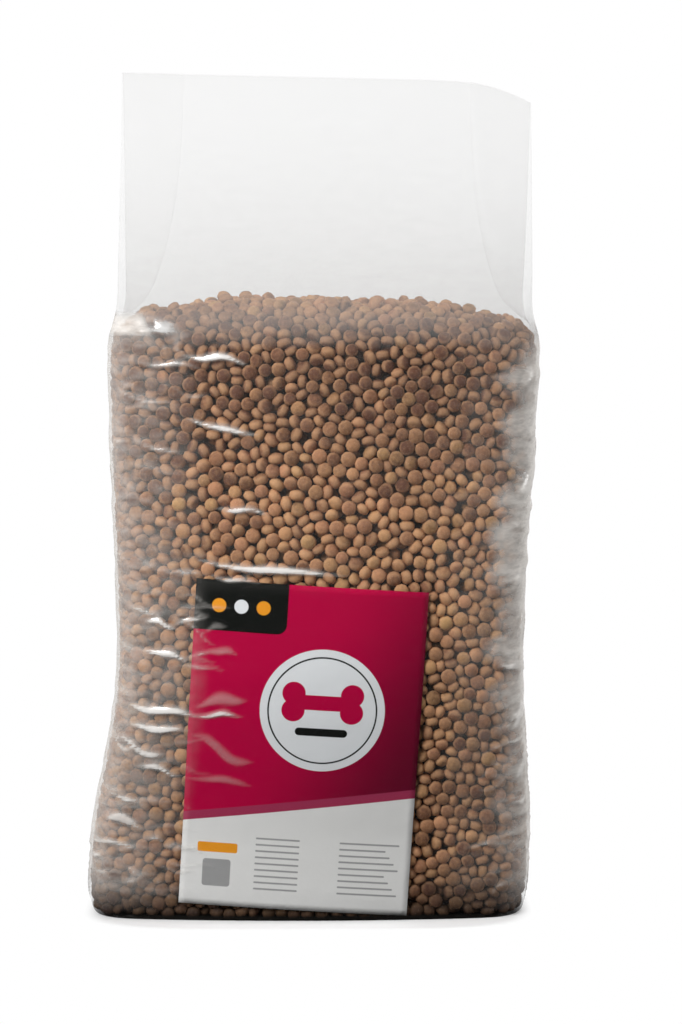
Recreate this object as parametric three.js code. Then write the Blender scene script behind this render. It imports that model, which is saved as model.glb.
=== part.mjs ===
// A side-gusset film bag of dog kibble, standing on its base with the mouth left open.
// Millimetres, +Z up, the front panel faces -Y. Three pieces: the film tube, welded shut at the
// base, the kibble that fills it, and a printed sheet slipped between the two at the front.
import * as THREE from "three";
import { mergeVertices } from "three/addons/utils/BufferGeometryUtils.js";

// Film tube, by its flat sizes
const filmThickness = 0.3;
const panelWidth = 411; // front or back panel, edge to edge
const gussetTuck = 69; // a panel's edge to the gusset's middle crease
const mouthHeight = 850; // base to the mouth, at its left end
const mouthSlope = 10; // how much lower the mouth's right end is cut
const mouthCornerDroop = 20; // the mouth's right corner hangs this much further down
const mouthCornerLength = 64; // length of mouth over which that corner hangs
const mouthGap = 12; // front panel to back panel at the mouth
const foldRadius = 1.5; // outside radius of a folded edge
const creaseHalfWidth = 1.2; // half the flat at the gusset's middle crease

// Filled body: how much wider it stands than a flat panel, measured over the gussets
const shoulderHeight = 582;
const shoulderSpread = 26;
const headerRise = 42; // height over which the shoulder draws in to the panels' own width
const headerHollow = 1.15; // how hollow the panels lean in to the mouth: 1 is straight
const foldRise = 66; // height over which a rounded corner sharpens to a fold
const waistHeight = 265;
const waistSpread = 4;
const footHeight = 44;
const footSpread = 43;
const footUndercut = 6; // how far the base's edge lies in from the foot all round
const bellyBulge = 14; // how far the panels swell past their corners
const footBulge = 10;
const cornerRadius = 40;
const sideTurn = 84; // degrees that the film turns at a filled corner, short of square
const leanTop = 5; // sideways offset of the middle at the mouth
const leanWaist = -2;
const leanFoot = -15;

// Printed sheet
const sheetWidth = 230;
const sheetHeight = 332;
const sheetThickness = 0.25;
const sheetTurn = 3.6; // degrees, the top leans right
const sheetCentreX = -20;
const sheetBottom = 11.5; // height of the sheet's lower edge at its middle
const sheetClearance = 0.8; // film to sheet

// Kibble
const kibblePitch = 19; // across neighbouring kibbles in the packing
const kibbleRelief = 9; // crown of a kibble to the gap between kibbles
const kibbleSink = 1.5; // how much lower than its neighbours a kibble can lie
const gapUnevenness = 2.4; // how much the gaps differ in depth
const kibbleScatter = 3; // how far a kibble lies off its place in the packing
const kibbleClearance = 2; // film to kibble on the panels
const gussetSlack = 5; // film to kibble at the gussets, where the film stands off
const kibbleRest = 0.3; // film to kibble on the base
const heapEdgeRadius = 10; // rounding of the heap's edge under the loose top
const heapCrown = 44; // rise of the loose top above its edge
const heapRightFall = 8; // how much lower the top's right half lies

// Mesh density
const panelSteps = 5; // along half a panel
const foldSteps = 3;
const gussetSteps = 2;
const footLevels = 4;
const bodyLevels = 13;
const headerLevels = 8;
const sheetColumns = 8;
const sheetRows = 20;

const filmMaterial = new THREE.MeshStandardMaterial({
  name: "clear_film", color: 0xe9ebe8, roughness: 0.15, metalness: 0, transparent: true, opacity: 0.25,
});
const kibbleMaterial = new THREE.MeshStandardMaterial({
  name: "kibble", color: 0x9a6a48, roughness: 0.85, metalness: 0,
});
const sheetMaterial = new THREE.MeshStandardMaterial({
  name: "printed_sheet", color: 0xa8123f, roughness: 0.4, metalness: 0,
});

// Eases from one [place, value] station to the next, flat at each station.
function easeThrough(stations, place) {
  if (place <= stations[0][0]) return stations[0][1];
  for (let i = 1; i < stations.length; i++) {
    const [from, start] = stations[i - 1];
    const [to, end] = stations[i];
    if (place <= to) return THREE.MathUtils.lerp(start, end, THREE.MathUtils.smoothstep(place, from, to));
  }
  return stations[stations.length - 1][1];
}

// How far the film has drawn in under the foot: a quarter round from the foot to the base.
function undercutAt(height) {
  const down = Math.max(0, 1 - height / footHeight);
  return footUndercut * (1 - Math.sqrt(1 - down * down));
}

function widthAt(height) {
  const stations = [
    [footHeight, footSpread], [waistHeight, waistSpread], [shoulderHeight, shoulderSpread],
    [shoulderHeight + headerRise, 0],
  ];
  return panelWidth + easeThrough(stations, height) - 2 * undercutAt(height);
}

function bulgeAt(height) {
  return easeThrough([
    [0, footBulge], [waistHeight, bellyBulge], [shoulderHeight, bellyBulge],
    [(shoulderHeight + mouthHeight) / 2, 0],
  ], height);
}

function leanAt(height) {
  return easeThrough([[0, leanFoot], [waistHeight, leanWaist], [mouthHeight, leanTop]], height);
}

function cornerRadiusAt(height) {
  const sharpened = THREE.MathUtils.clamp((height - shoulderHeight) / foldRise, 0, 1);
  return THREE.MathUtils.lerp(foldRadius, cornerRadius, (1 - sharpened) ** 2);
}

// Film in a quarter of the girth, from a panel's middle to a gusset's crease. It is the same all the
// way up, so the bag is deeper where it is narrower, and its gussets tuck in as its panels meet.
const quarterGirth = panelWidth / 2 + gussetTuck;

// Film that a panel's swell takes up, over its straight width.
function swellFilm(height) {
  return ((2 / 3) * bulgeAt(height) ** 2) / (panelWidth / 2);
}

// The filled body is as deep as its width leaves film for. Above it, the panels lean together.
function halfDepthAt(height) {
  if (height > shoulderHeight) {
    const left = (mouthHeight - height) / (mouthHeight - shoulderHeight);
    return THREE.MathUtils.lerp(mouthGap / 2, halfDepthAt(shoulderHeight), left ** headerHollow);
  }
  const full = Math.max(height, footHeight);
  const turn = THREE.MathUtils.degToRad(sideTurn);
  const spare = quarterGirth - swellFilm(full) - widthAt(full) / 2 + cornerRadius * (Math.sin(turn) - turn);
  const gusset = spare / (1 - Math.cos(turn));
  const filled = creaseHalfWidth + cornerRadius * (1 - Math.cos(turn)) + gusset * Math.sin(turn);
  return filled - undercutAt(height);
}

// The section's corner for a film turn: half the panel's width, and the straight half of the gusset.
function cornerFor(height, turn) {
  const radius = cornerRadiusAt(height);
  const fall = halfDepthAt(height) - creaseHalfWidth - radius * (1 - Math.cos(turn));
  const gusset = fall / Math.sin(turn);
  const overhang = turn < Math.PI / 2 ? radius * Math.sin(turn) + gusset * Math.cos(turn) : radius;
  const halfPanel = widthAt(height) / 2 - overhang;
  return { radius, turn, gusset, halfPanel, film: halfPanel + swellFilm(height) + radius * turn + gusset };
}

// The corner at a height. In the header it is the turn that uses up all the film.
function cornerAt(height) {
  let low = THREE.MathUtils.degToRad(sideTurn);
  if (height <= shoulderHeight) return cornerFor(height, low);
  let high = Math.PI - 1e-4;
  while (high - low > 1e-6) {
    const middle = (low + high) / 2;
    if (cornerFor(height, middle).film < quarterGirth) low = middle;
    else high = middle;
  }
  return cornerFor(height, low);
}

// How far a panel swells out at x, from its middle to its corners.
function panelSwell(x, halfPanel, bulge) {
  const across = Math.min(1, Math.abs(x) / halfPanel);
  return bulge * (1 - across * across);
}

// One quarter of the section, from the front panel's middle to the right gusset's crease.
function quarterSection(height) {
  const { radius, turn, gusset, halfPanel } = cornerAt(height);
  const halfDepth = halfDepthAt(height);
  const points = [];
  for (let i = 0; i < panelSteps; i++) {
    const x = (halfPanel * i) / panelSteps;
    points.push(new THREE.Vector2(x, -halfDepth - panelSwell(x, halfPanel, bulgeAt(height))));
  }
  for (let i = 0; i <= foldSteps; i++) {
    const angle = (turn * i) / foldSteps;
    points.push(new THREE.Vector2(
      halfPanel + radius * Math.sin(angle),
      -halfDepth + radius * (1 - Math.cos(angle)),
    ));
  }
  const foldEnd = points[points.length - 1];
  const along = new THREE.Vector2(Math.cos(turn), Math.sin(turn));
  for (let i = 1; i <= gussetSteps; i++) {
    points.push(foldEnd.clone().addScaledVector(along, (gusset * i) / gussetSteps));
  }
  return points;
}

// The whole section, counter-clockwise seen from above, before the lean.
function section(height) {
  const front = quarterSection(height);
  const right = [...front, ...front.map((p) => new THREE.Vector2(p.x, -p.y)).reverse()];
  const left = right.slice(1, -1).map((p) => new THREE.Vector2(-p.x, p.y)).reverse();
  return [...right, ...left];
}

// The section moved inwards along its own normals.
function inset(points, distance) {
  return points.map((point, i) => {
    const before = points[(i + points.length - 1) % points.length];
    const after = points[(i + 1) % points.length];
    const into = point.clone().sub(before).normalize();
    const out = after.clone().sub(point).normalize();
    const normal = new THREE.Vector2(-into.y - out.y, into.x + out.x).normalize();
    const cosine = Math.max(0.6, normal.dot(new THREE.Vector2(-into.y, into.x)));
    return point.clone().addScaledVector(normal, distance / cosine);
  });
}

// How far the mouth's cut edge lies below its left end.
function mouthDrop(x) {
  const across = THREE.MathUtils.clamp(x / panelWidth + 0.5, 0, 1);
  const corner = THREE.MathUtils.clamp((x - panelWidth / 2 + mouthCornerLength) / mouthCornerLength, 0, 1);
  return mouthSlope * across + mouthCornerDroop * corner * corner;
}

// A level's ring of points in space. The header's share of its height follows the cut of the mouth.
function filmRing(height, thicknessIn) {
  const points = thicknessIn > 0 ? inset(section(height), thicknessIn) : section(height);
  const share = Math.max(0, (height - shoulderHeight) / (mouthHeight - shoulderHeight));
  return points.map((p) => new THREE.Vector3(
    p.x + leanAt(height), p.y, Math.max(height, thicknessIn) - share * mouthDrop(p.x),
  ));
}

// Skins a stack of rings that all have as many points, and closes both ends with a fan. The stack's
// second half runs back down inside the first, and its squares are split along the same lines.
function skinRings(rings) {
  const count = rings[0].length;
  const vertices = rings.flat();
  const middle = (ring) => ring.reduce((sum, p) => sum.add(p), new THREE.Vector3()).divideScalar(count);
  const bottom = vertices.push(middle(rings[0])) - 1;
  const top = vertices.push(middle(rings[rings.length - 1])) - 1;
  const faces = [];
  for (let i = 0; i < count; i++) {
    const next = (i + 1) % count;
    faces.push(bottom, next, i);
    for (let level = 0; level + 1 < rings.length; level++) {
      const low = level * count;
      const high = low + count;
      const [left, right] = level < rings.length / 2 ? [low + i, high + next] : [low + next, high + i];
      faces.push(low + i, low + next, right, left, high + next, high + i);
    }
    const last = (rings.length - 1) * count;
    faces.push(last + i, last + next, top);
  }
  return new THREE.BufferGeometry().setFromPoints(vertices).setIndex(faces);
}

function levels() {
  const foot = Array.from({ length: footLevels }, (_, i) =>
    footHeight * (1 - Math.cos((Math.PI / 2) * (i / footLevels))));
  const body = Array.from({ length: bodyLevels + 1 }, (_, i) =>
    THREE.MathUtils.lerp(footHeight, shoulderHeight, i / bodyLevels));
  const header = Array.from({ length: headerLevels }, (_, i) =>
    THREE.MathUtils.lerp(shoulderHeight, mouthHeight, ((i + 1) / headerLevels) ** 2));
  return [...foot, ...body, ...header];
}

function filmBag() {
  const outside = levels().map((height) => filmRing(height, 0));
  const inside = levels().map((height) => filmRing(height, filmThickness)).reverse();
  return new THREE.Mesh(skinRings([...outside, ...inside]), filmMaterial);
}

// The film's inner face at the front, straight from each level to the next.
function frontFace(x, height) {
  const stack = levels();
  const above = stack.findIndex((level) => level >= height);
  const [low, high] = [stack[above - 1], stack[above]].map((level) =>
    -halfDepthAt(level) - panelSwell(x - leanAt(level), cornerAt(level).halfPanel, bulgeAt(level)));
  return filmThickness + THREE.MathUtils.mapLinear(height, stack[above - 1], stack[above], low, high);
}

function printedSheet() {
  const sheet = new THREE.BoxGeometry(sheetWidth, sheetThickness, sheetHeight, sheetColumns, 1, sheetRows);
  sheet.rotateY(THREE.MathUtils.degToRad(sheetTurn));
  sheet.translate(sheetCentreX, 0, sheetBottom + sheetHeight / 2);
  const at = sheet.getAttribute("position");
  for (let i = 0; i < at.count; i++) {
    const height = at.getZ(i);
    const face = frontFace(at.getX(i), height) + sheetClearance;
    at.setY(i, face + sheetThickness / 2 + at.getY(i));
  }
  return new THREE.Mesh(sheet, sheetMaterial);
}

// A repeatable number from 0 to 1 for each place in the packing.
function scatter(place, salt) {
  const value = Math.sin(place * 127.1 + salt * 311.7) * 43758.5453;
  return value - Math.floor(value);
}

// A point of the unit square's edge, or inside it, on the heap's rounded section at that height.
function heapPoint(across, deep, height, edgeInset) {
  const reach = Math.max(Math.abs(across), Math.abs(deep), 1e-6);
  const halfWidth = widthAt(height) / 2 - filmThickness - gussetSlack - edgeInset;
  const halfDepth = halfDepthAt(height) - filmThickness - kibbleClearance - edgeInset;
  const radius = cornerRadius;
  const onEdge = new THREE.Vector2((across / reach) * halfWidth, (deep / reach) * halfDepth);
  const core = new THREE.Vector2(
    THREE.MathUtils.clamp(onEdge.x, radius - halfWidth, halfWidth - radius),
    THREE.MathUtils.clamp(onEdge.y, radius - halfDepth, halfDepth - radius),
  );
  const arm = onEdge.clone().sub(core);
  const bent = core.add(arm.setLength(radius));
  const bulge = panelSwell(bent.x, halfWidth - radius, bulgeAt(height));
  bent.y += Math.sign(deep) * bulge * Math.min(1, Math.abs(deep / reach));
  return bent.multiplyScalar(reach);
}

// The heap: a box of grid squares drawn onto the bag's inside, every other grid point a kibble.
function kibbleFill() {
  const cell = kibblePitch / Math.SQRT2;
  const floor = filmThickness + kibbleRest;
  const columns = Math.round(widthAt(shoulderHeight) / cell);
  const deeps = Math.round((2 * halfDepthAt(waistHeight)) / cell);
  const rows = Math.round((shoulderHeight - floor) / cell);
  let heap = new THREE.BoxGeometry(2, 2, 2, columns, deeps, rows);
  heap.deleteAttribute("normal");
  heap.deleteAttribute("uv");
  const faceTriangles = heap.index.count / 3;
  heap = mergeVertices(heap, 1e-4);
  const at = heap.getAttribute("position");
  const isKibble = [];
  for (let i = 0; i < at.count; i++) {
    const [across, deep, up] = [at.getX(i), at.getY(i), at.getZ(i)];
    const steps = Math.round(((across + 1) * columns + (deep + 1) * deeps + (up + 1) * rows) / 2);
    isKibble.push(steps % 2 === 0);
    const height = THREE.MathUtils.mapLinear(up, -1, 1, floor, shoulderHeight);
    const fromEnd = Math.max(0, height - (shoulderHeight - heapEdgeRadius)) / heapEdgeRadius;
    const edgeInset = heapEdgeRadius * (1 - Math.sqrt(1 - fromEnd * fromEnd));
    const place = heapPoint(across, deep, height, edgeInset);
    const peak = heapCrown - heapRightFall * THREE.MathUtils.smoothstep(across, 0, 1);
    const crown = up > 1 - 1e-6 ? peak * (1 - across ** 4) * (1 - deep ** 2) : 0;
    at.setXYZ(i, place.x + leanAt(height), place.y, height + crown);
  }
  turnDiagonals(heap, faceTriangles, isKibble);
  heap.computeVertexNormals();
  const normal = heap.getAttribute("normal");
  for (let i = 0; i < at.count; i++) {
    const point = new THREE.Vector3().fromBufferAttribute(at, i);
    const out = new THREE.Vector3().fromBufferAttribute(normal, i);
    if (point.z < floor + cell / 2) continue;
    const aside = new THREE.Vector3(scatter(i, 1) - 0.5, scatter(i, 2) - 0.5, scatter(i, 3) - 0.5);
    aside.addScaledVector(out, -aside.dot(out)).multiplyScalar(2 * kibbleScatter);
    const gapDepth = kibbleRelief + gapUnevenness * (scatter(i, 5) - 0.5);
    const sunk = isKibble[i] ? kibbleSink * scatter(i, 4) : gapDepth;
    point.add(aside).addScaledVector(out, -sunk - kibbleScatter / 2);
    at.setXYZ(i, point.x, point.y, point.z);
  }
  return new THREE.Mesh(heap, kibbleMaterial);
}

// Splits each grid square between its two gaps, so that every kibble stands up on its own.
function turnDiagonals(grid, triangles, isKibble) {
  const index = grid.index.array;
  for (let t = 0; t < triangles; t += 2) {
    const [a, b, d, , c] = index.subarray(3 * t, 3 * t + 6);
    if (isKibble[b]) index.set([a, b, c, a, c, d], 3 * t);
  }
}

const film = filmBag();
film.name = "film_bag";
const sheet = printedSheet();
sheet.name = "label_sheet";
const kibble = kibbleFill();
kibble.name = "kibble_fill";

// The origin is the middle of the base, under the middle of the whole bag's box.
const pieces = new THREE.Group().add(film, sheet, kibble);
const middle = new THREE.Box3().setFromObject(pieces).getCenter(new THREE.Vector3());
pieces.position.set(-middle.x, -middle.y, 0);

const bag = new THREE.Group().add(pieces);
bag.name = "kibble_bag";

export default bag;
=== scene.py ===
import math

import bmesh
import bpy
import numpy as np
from mathutils import Matrix, Vector
from mathutils.bvhtree import BVHTree


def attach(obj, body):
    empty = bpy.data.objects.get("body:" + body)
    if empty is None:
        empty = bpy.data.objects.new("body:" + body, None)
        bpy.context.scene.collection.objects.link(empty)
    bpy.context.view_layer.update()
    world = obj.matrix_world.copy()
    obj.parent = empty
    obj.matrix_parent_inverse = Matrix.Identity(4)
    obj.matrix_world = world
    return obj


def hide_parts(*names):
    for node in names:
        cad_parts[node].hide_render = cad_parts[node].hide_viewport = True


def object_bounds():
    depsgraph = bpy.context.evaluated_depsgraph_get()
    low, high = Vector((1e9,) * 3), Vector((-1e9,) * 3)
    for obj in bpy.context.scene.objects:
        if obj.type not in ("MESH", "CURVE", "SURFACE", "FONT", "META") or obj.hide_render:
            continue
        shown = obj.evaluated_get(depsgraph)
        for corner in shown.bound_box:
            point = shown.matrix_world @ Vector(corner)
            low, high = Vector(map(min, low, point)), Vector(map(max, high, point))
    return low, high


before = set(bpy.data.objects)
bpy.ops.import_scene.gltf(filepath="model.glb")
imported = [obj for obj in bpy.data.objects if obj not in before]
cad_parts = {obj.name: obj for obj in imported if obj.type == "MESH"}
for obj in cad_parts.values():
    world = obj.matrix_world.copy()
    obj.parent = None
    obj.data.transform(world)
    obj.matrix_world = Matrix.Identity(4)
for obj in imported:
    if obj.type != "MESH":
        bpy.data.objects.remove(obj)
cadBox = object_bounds()
mm = 0.001


# Nodes and meshes that all pieces share

def newMaterial(name):
    material = bpy.data.materials.new(name)
    material.use_nodes = True
    material.node_tree.nodes.clear()
    return material, material.node_tree


def addNode(tree, kind, **values):
    node = tree.nodes.new(kind)
    for key, value in values.items():
        if hasattr(node, key):
            setattr(node, key, value)
        else:
            node.inputs[key].default_value = value
    return node


def feed(tree, socket, value):
    # a socket takes another node's output, or a plain value
    if isinstance(value, bpy.types.NodeSocket):
        tree.links.new(value, socket)
    elif socket.type == "RGBA":
        socket.default_value = (*value, 1.0)
    else:
        socket.default_value = value


def mathNode(tree, operation, *values, clamp=False):
    node = addNode(tree, "ShaderNodeMath", operation=operation, use_clamp=clamp)
    for socket, value in zip(node.inputs, values):
        feed(tree, socket, value)
    return node.outputs[0]


def smoothStep(tree, value, low, high):
    node = addNode(tree, "ShaderNodeMapRange", interpolation_type="SMOOTHSTEP")
    for name, entry in (("Value", value), ("From Min", low), ("From Max", high)):
        feed(tree, node.inputs[name], entry)
    return node.outputs["Result"]


def mixColour(tree, factor, first, second):
    node = addNode(tree, "ShaderNodeMix", data_type="RGBA")
    for number, value in ((0, factor), (6, first), (7, second)):  # its factor and its two colours
        feed(tree, node.inputs[number], value)
    return node.outputs[2]


def mixShader(tree, factor, first, second):
    node = addNode(tree, "ShaderNodeMixShader")
    for socket, value in zip(node.inputs, (factor, first.outputs[0], second.outputs[0])):
        feed(tree, socket, value)
    return node


def noise(tree, place, scale, detail, roughness):
    node = addNode(tree, "ShaderNodeTexNoise", Scale=scale, Detail=detail, Roughness=roughness)
    tree.links.new(place, node.inputs["Vector"])
    return node.outputs["Fac"]


def bump(tree, height, strength, distance):
    node = addNode(tree, "ShaderNodeBump", Strength=strength, Distance=distance)
    tree.links.new(height, node.inputs["Height"])
    return node.outputs[0]


def attribute(tree, name):
    return addNode(tree, "ShaderNodeAttribute", attribute_name=name).outputs["Fac"]


def endTree(tree, shader, kind="ShaderNodeOutputMaterial"):
    tree.links.new(shader.outputs[0], addNode(tree, kind).inputs["Surface"])


def endOpaque(tree, colour, normal, roughness, specular):
    body = addNode(tree, "ShaderNodeBsdfPrincipled", Roughness=roughness)
    for name, value in (("Base Color", colour), ("Normal", normal), ("Specular IOR Level", specular)):
        feed(tree, body.inputs[name], value)
    endTree(tree, body)


def srgb(red, green, blue):
    return tuple(((c / 255 + 0.055) / 1.055) ** 2.4 if c > 10 else c / 3294 for c in (red, green, blue))


def finishPiece(piece, nodeName, material):
    bpy.context.scene.collection.objects.link(piece)
    piece.data.materials.append(material)
    piece.data.shade_smooth()
    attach(piece, "root")
    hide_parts(nodeName)


def objectFrom(bm, name):
    mesh = bpy.data.meshes.new(name)
    bm.to_mesh(mesh)
    bm.free()
    return bpy.data.objects.new(name, mesh)


def cadCopy(*names):
    bm = bmesh.new()
    for name in names:
        bm.from_mesh(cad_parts[name].data)
    return bm


def mergedCopy(name):
    bm = cadCopy(name)
    bmesh.ops.remove_doubles(bm, verts=bm.verts, dist=0.02 * mm)
    return bm


def cadTree(*names):
    bm = cadCopy(*names)
    tree = BVHTree.FromBMesh(bm)
    bm.free()
    return tree


def ramp(values, low, high):
    return np.clip((values - low) / (high - low), 0, 1)


def fadeIn(least, values, low, high):
    return least + (1 - least) * ramp(values, low, high)


# The film bag: the CAD film's rings, drawn as a smooth sheet that is rolled round and welded

film = {
    "frontStep": 4.5 * mm,  # grid of the front half
    "backStep": 12.0 * mm,
    "bodyRow": 2.5 * mm,
    "headerRow": 9.0 * mm,
    "footLevels": 6,  # CAD levels of the foot, which crowd too
    "wall": 0.25 * mm,
    "seed": 11,
    # main pleats of the front: middle, height, half length, fall to the right, width, brightness of the
    # painted highlight
    "pleats": [
        (-152, 604, 31, 7, 12, 1.0), (-150, 598, 14, -3, 6, 0.5), (182, 602, 14, 6, 6, 0.5),
        (-144, 591, 26, 2, 8, 1.0), (-141, 576, 10, 2, 5, 0.6), (-99, 565, 28, 4, 8, 1.0),
        (-95, 498, 31, 6, 7, 1.0), (-76, 416, 25, 3, 7, 0.8), (-51, 359, 69, 7, 8, 1.0),
        (-86, 349, 26, 3, 6, 0.8), (-129, 356, 15, 3, 5, 0.7), (-177, 316, 20, 2, 6, 0.6),
        (-160, 304, 16, 3, 8, 1.0), (-130, 308, 18, -3, 6, 0.7), (-155, 272, 25, 6, 8, 1.0),
        (-156, 217, 40, 8, 9, 1.0), (-156, 198, 30, 2, 8, 0.9), (-173, 178, 28, 8, 8, 0.8),
        (-100, 213, 22, -1, 6, 1.0), (-149, 156, 22, 4, 7, 0.9), (-178, 124, 22, 5, 6, 0.9),
        (-175, 101, 22, 7, 12, 0.6), (-190, 78, 36, 6, 6, 0.9), (-206, 64, 16, 8, 6, 0.8),
        (193, 201, 13, -10, 6, 0.7), (201, 120, 14, -4, 7, 0.8), (160, 77, 20, -5, 5, 0.6),
    ],
    # wide soft folds over the printed sheet and down the right edge, with faint painted highlights
    "folds": [
        (-104, 301, 13, -2, 8, 0.4), (-98, 276, 18, 2, 9, 0.4), (-97, 226, 26, -5, 14, 0.36),
        (-90, 176, 32, 13, 13, 0.34), (-90, 145, 36, 3, 8, 0.36), (212, 545, 24, -14, 20, 0.45),
        (214, 446, 22, -14, 30, 0.55), (212, 352, 22, -13, 26, 0.45), (212, 262, 22, -13, 18, 0.55),
        (212, 205, 22, -12, 16, 0.65), (214, 160, 24, -12, 15, 0.6), (216, 110, 24, -10, 15, 0.5),
    ],
    # fine pleats of each side: how many, from where to where round the bag, mean fall, most brightness of
    # the painted highlight
    "finePleats": {"left": (95, -255, -105, 4, 0.75), "right": (70, 165, 270, -10, 0.85)},
    "fineLevels": (22, 550, 2.3),  # lowest, span, crowding to the foot
    "fineHalves": (10, 34),
    "fineFallSpread": 4,
    "fineWidths": (3.0, 7.0),
    "fineDimming": (0.25, 1.0),
    "riseShare": {"pleats": 1.0, "folds": 0.5, "finePleats": 0.8},
    "slope": 0.34,  # rise of a pleat's upper face over its width
    "lowerFace": 0.45,  # width of its lower face over that of its upper one
    "mostRise": 3.2 * mm,
    "plainFoot": (4 * mm, 16 * mm),  # the pleats begin over it
    # painted highlights on the pleats' upper faces
    "streakWave": 1.3 * mm,
    "streakBelow": 0.25,  # share of a face under its crease
    "softSide": 0.6,  # how steeply its upper edge fades, when its lower one is 1
    "streakReach": 6.0 * mm,  # depth that counts as wholly inside or outside a painted highlight
    "faintSink": 1.0 * mm,  # the faintest faces are this much smaller
    "creaseSide": 0.2745,  # round the bag, from the front's middle to the gusset's crease
    # soft folds of the slack gussets and the header
    "sideWave": 1.9 * mm,
    "slackSide": (0.25, 0.05),  # middle and reach, round the bag
    "slackFoot": (0.03, 0.08),
    "slackTop": 0.02,  # above and below the shoulder
    "headerWave": 3.0 * mm,
    "headerRamp": (0.02, 0.12),  # over the shoulder
    # haze of the body: how much, and from where to where out from a panel's middle
    "bodyHaze": 0.013,
    "leftHaze": 0.075,  # where the slack film clings in folds
    "leftRamp": (0.11, 0.165),
    "lowLeft": 0.5,  # more of it low down
    "lowLeftRamp": (0.4, 0.28),
    "leftEdgeHaze": 0.07,
    "leftEdgeRamp": (0.168, 0.215),
    "rightHaze": 0.04,
    "rightRamp": (0.1, 0.18),
    "rightEdgeHaze": 0.68,
    "rightEdgeRamp": (0.17, 0.21),
    "edgeWander": 13 * mm,  # how unevenly the right band begins
    "bandLeast": 0.4,  # left of the band at the foot and at the shoulder; thinning it at the foot is painted shade, for the gusset in shadow there
    "bandFoot": (0.06, 0.36),
    "bandTop": (0, -70 * mm),
    "cornerRamp": (0.232, 0.256),  # the gussets' middles are clearer
    "backShare": 0.35,
    "sheetTop": (0.355, 0.335),  # the film lies plain on the print
    "sheetSide": (0.135, 0.115),
    "sheetClear": 0.9,
    "footRamp": (6 * mm, 40 * mm),
    # the film turned over at the left shoulder
    "flapHaze": 0.42,
    "flapSides": ((-0.15, -0.157), (-0.235, -0.225)),
    "flapRises": ((4 * mm, 10 * mm), (30 * mm, 22 * mm)),
    # haze of the header: where it begins and is full, from the shoulder
    "frontVeil": -4 * mm,
    "backVeil": -50 * mm,
    "fullVeil": 22 * mm,
    "veilBend": 1.15,
    "lowHaze": 0.2,  # just over the food
    "highHaze": 0.048,  # at the mouth
    "headerFade": 2.2,
    "tuckSide": (0.19, 0.215),  # the tucked gussets are clearer
    "tuckUp": (0, 0.12),
    "tuckClear": 0.9,
    # shine and painted highlights, which the header hardly has
    "dullLeast": 0.1,
    "shineRamp": (14 * mm, -6 * mm),
    "brightRamp": (30 * mm, 12 * mm),
    "edgeLoss": 0.85,  # how much less the header whitens edge on
    # painted shadow at the foot: a dark veil on the film where the bag's underside is in shade
    "footShadowColour": (0.03, 0.028, 0.025),
    "baseRamp": (6.5 * mm, 1 * mm),
    "baseSide": (0.205, 0.13),
    "baseLeast": 0.35,
    "footShadowCover": 0.85,
    # the finish
    "veil": (0.5, 0.5, 0.495),
    # the body's paler haze colour: partly the film's own haze, partly painted light, as if its folds caught
    # more light
    "foldVeil": (0.93, 0.885, 0.835),
    "ripple": (70.0, 3.0, 0.6),  # scale, detail, roughness
    "rippleStretch": (0.6, 0.6, 1.6),  # they lie along the pleats
    "rippleBump": (0.35, 2 * mm),
    "ragged": 0.5,  # how much the ripples fray a painted highlight
    "cloud": 2.6,  # how much they mottle the haze
    "patchEdge": (-0.3, 0.5),
    "crestEdge": (0.05, 0.4),
    "crestBright": (0.35, 1.0),
    "grazingBend": 3.0,
    "grazingHaze": 0.2,
    "patchPaintedHighlight": 0.28,
    "crestPaintedHighlight": 0.4,
    "glossRough": 0.18,
    "ior": 1.5,
    "gloss": 0.04,
    "grazingGloss": 0.1,
    "crestGloss": 0.3,
}


def walkRing(ring):
    # the ring's points in order, counter-clockwise from above
    start = min(ring, key=lambda v: v.co.y)
    order, last, here = [start], None, start
    while True:
        beside = [e.other_vert(here) for e in here.link_edges if e.other_vert(here) in ring]
        step = next(v for v in beside if v is not last)
        if last is None:
            step = max(beside, key=lambda v: v.co.x)
        if step is start:
            return order
        order.append(step)
        last, here = here, step


def filmRings():
    bm = mergedCopy("film_bag")
    fans = [v for v in bm.verts if len(v.link_edges) > 20]  # the middles of the base's two faces
    layer, seen, rings = {min(fans, key=lambda v: v.co.z)}, set(), []
    begin = None
    while True:
        seen |= layer
        layer = {e.other_vert(v) for v in layer for e in v.link_edges} - seen
        order = walkRing(layer)
        if begin is not None:
            up = [i for i, v in enumerate(order) if any(e.other_vert(v) is begin for e in v.link_edges)]
            first = up[0] if (up[0] + 1) % len(order) == up[1] else up[1]
            order = order[first:] + order[:first]
        places = np.array([v.co for v in order])
        if rings and np.abs(places - rings[-1]).max() < 2 * mm:
            break  # the inner wall begins
        rings.append(places)
        begin = order[0]
    bm.free()
    return np.array(rings)


def cubicWeights(t):
    second, third = 3 * t ** 3 - 6 * t ** 2 + 4, -3 * t ** 3 + 3 * t ** 2 + 3 * t + 1
    return np.stack([(1 - t) ** 3, second, third, t ** 3], -1) / 6


def splineAcross(points, places):
    # a smooth cubic along the second axis of points, at places counted in points
    low = np.floor(places).astype(int)
    weights = cubicWeights(places - low)
    return sum(weights[None, :, k, None] * points[:, (low + k - 1) % points.shape[1]] for k in range(4))


def splineUp(points, places):
    ends = np.concatenate([2 * points[:1] - points[1:2], points, 2 * points[-1:] - points[-2:-1]])
    low = np.minimum(np.floor(places).astype(int), len(points) - 2)
    weights = cubicWeights(places - low)
    return sum(weights[:, k, None, None] * ends[low + k] for k in range(4))


def spread(lengths, steps):
    counts = np.maximum(1, np.round(lengths / steps).astype(int))
    return np.concatenate([i + np.arange(n) / n for i, n in enumerate(counts)])


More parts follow.
